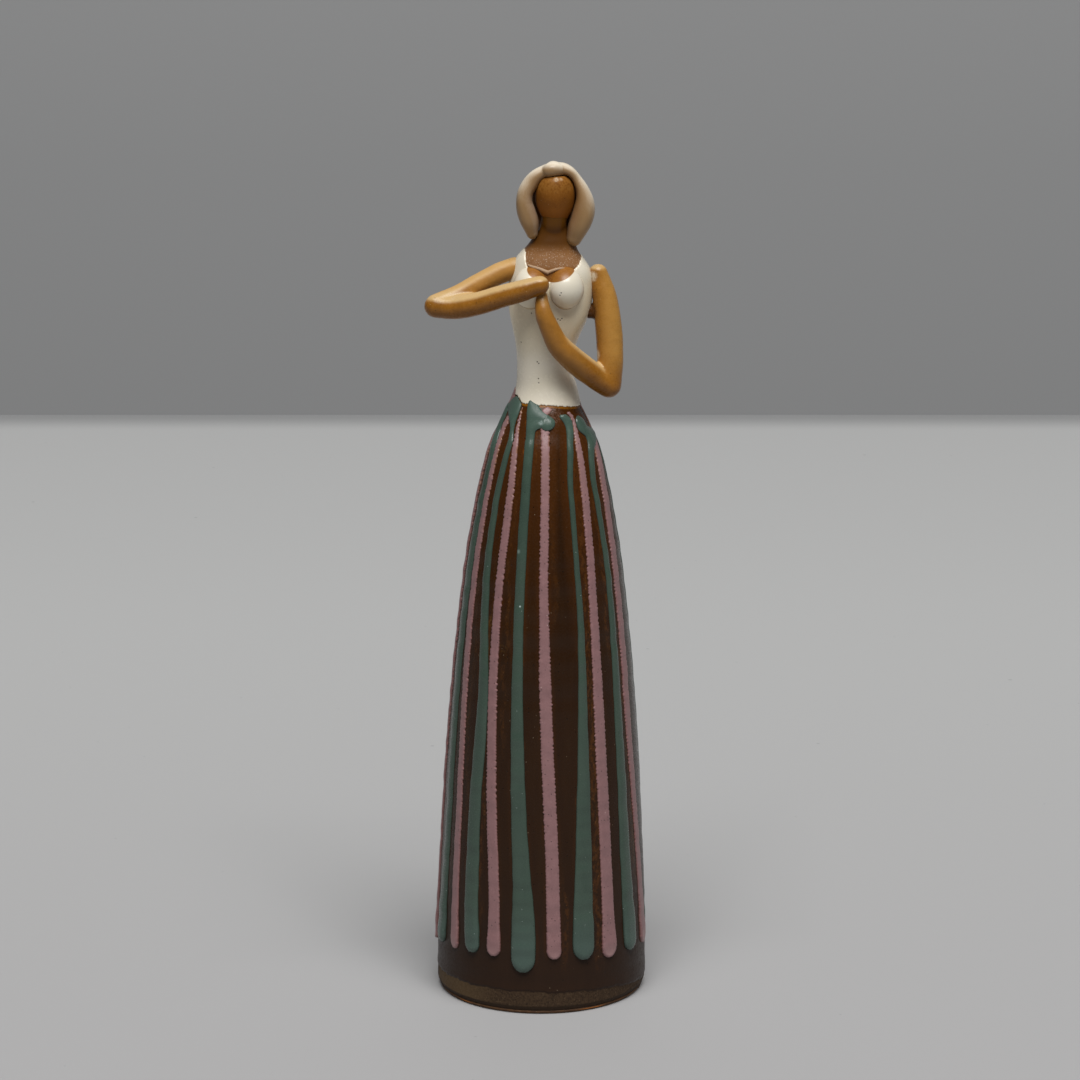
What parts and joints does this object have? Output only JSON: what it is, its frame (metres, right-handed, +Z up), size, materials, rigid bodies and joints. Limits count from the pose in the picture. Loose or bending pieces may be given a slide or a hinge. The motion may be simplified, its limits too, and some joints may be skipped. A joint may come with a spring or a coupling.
{
  "type": "ceramic figurine",
  "caption": "Standing ceramic girl with a tall flared skirt of dripped pink and green stripes, a white bodice, coiled arms and a smooth blank face.",
  "frame": {"origin": "centre of the flat underside of the foot, on the surface the figure stands on", "axes": "+Z up along the figure, -Y the way the figure faces, +X towards the figure's left arm"},
  "size_m": [0.0737, 0.072, 0.2806],
  "materials": {
    "brown_glaze": "gloss",
    "bare_clay": "matte",
    "white_glaze": "gloss",
    "skin_glaze": "gloss",
    "hair_glaze": "satin",
    "pink_glaze": "satin",
    "green_glaze": "gloss"
  },
  "bodies": {
    "root": {"skirt": "brown_glaze", "floor_slab": "bare_clay", "pink_trail_01": "pink_glaze", "green_trail_02": "green_glaze", "pink_trail_03": "pink_glaze", "green_trail_04": "green_glaze", "pink_trail_05": "pink_glaze", "green_trail_06": "green_glaze", "pink_trail_07": "pink_glaze", "green_trail_08": "green_glaze", "pink_trail_09": "pink_glaze", "green_trail_10": "green_glaze", "pink_trail_11": "pink_glaze", "green_trail_12": "green_glaze", "pink_trail_13": "pink_glaze", "green_trail_14": "green_glaze", "pink_trail_15": "pink_glaze", "green_trail_16": "green_glaze", "pink_trail_17": "pink_glaze", "green_trail_18": "green_glaze", "pink_trail_19": "pink_glaze", "green_trail_20": "green_glaze", "pink_trail_21": "pink_glaze", "green_trail_22": "green_glaze", "pink_trail_23": "pink_glaze", "green_trail_24": "green_glaze", "bodice": "white_glaze", "neck_and_chest": "skin_glaze", "head": "skin_glaze", "right_breast_pad": "white_glaze", "left_breast_pad": "white_glaze", "right_arm": "skin_glaze", "left_arm": "skin_glaze", "hair_front_roll": "hair_glaze", "hair_right_lock": "hair_glaze", "hair_left_lock": "hair_glaze", "hair_back": "hair_glaze"}
  },
  "joints": []
}
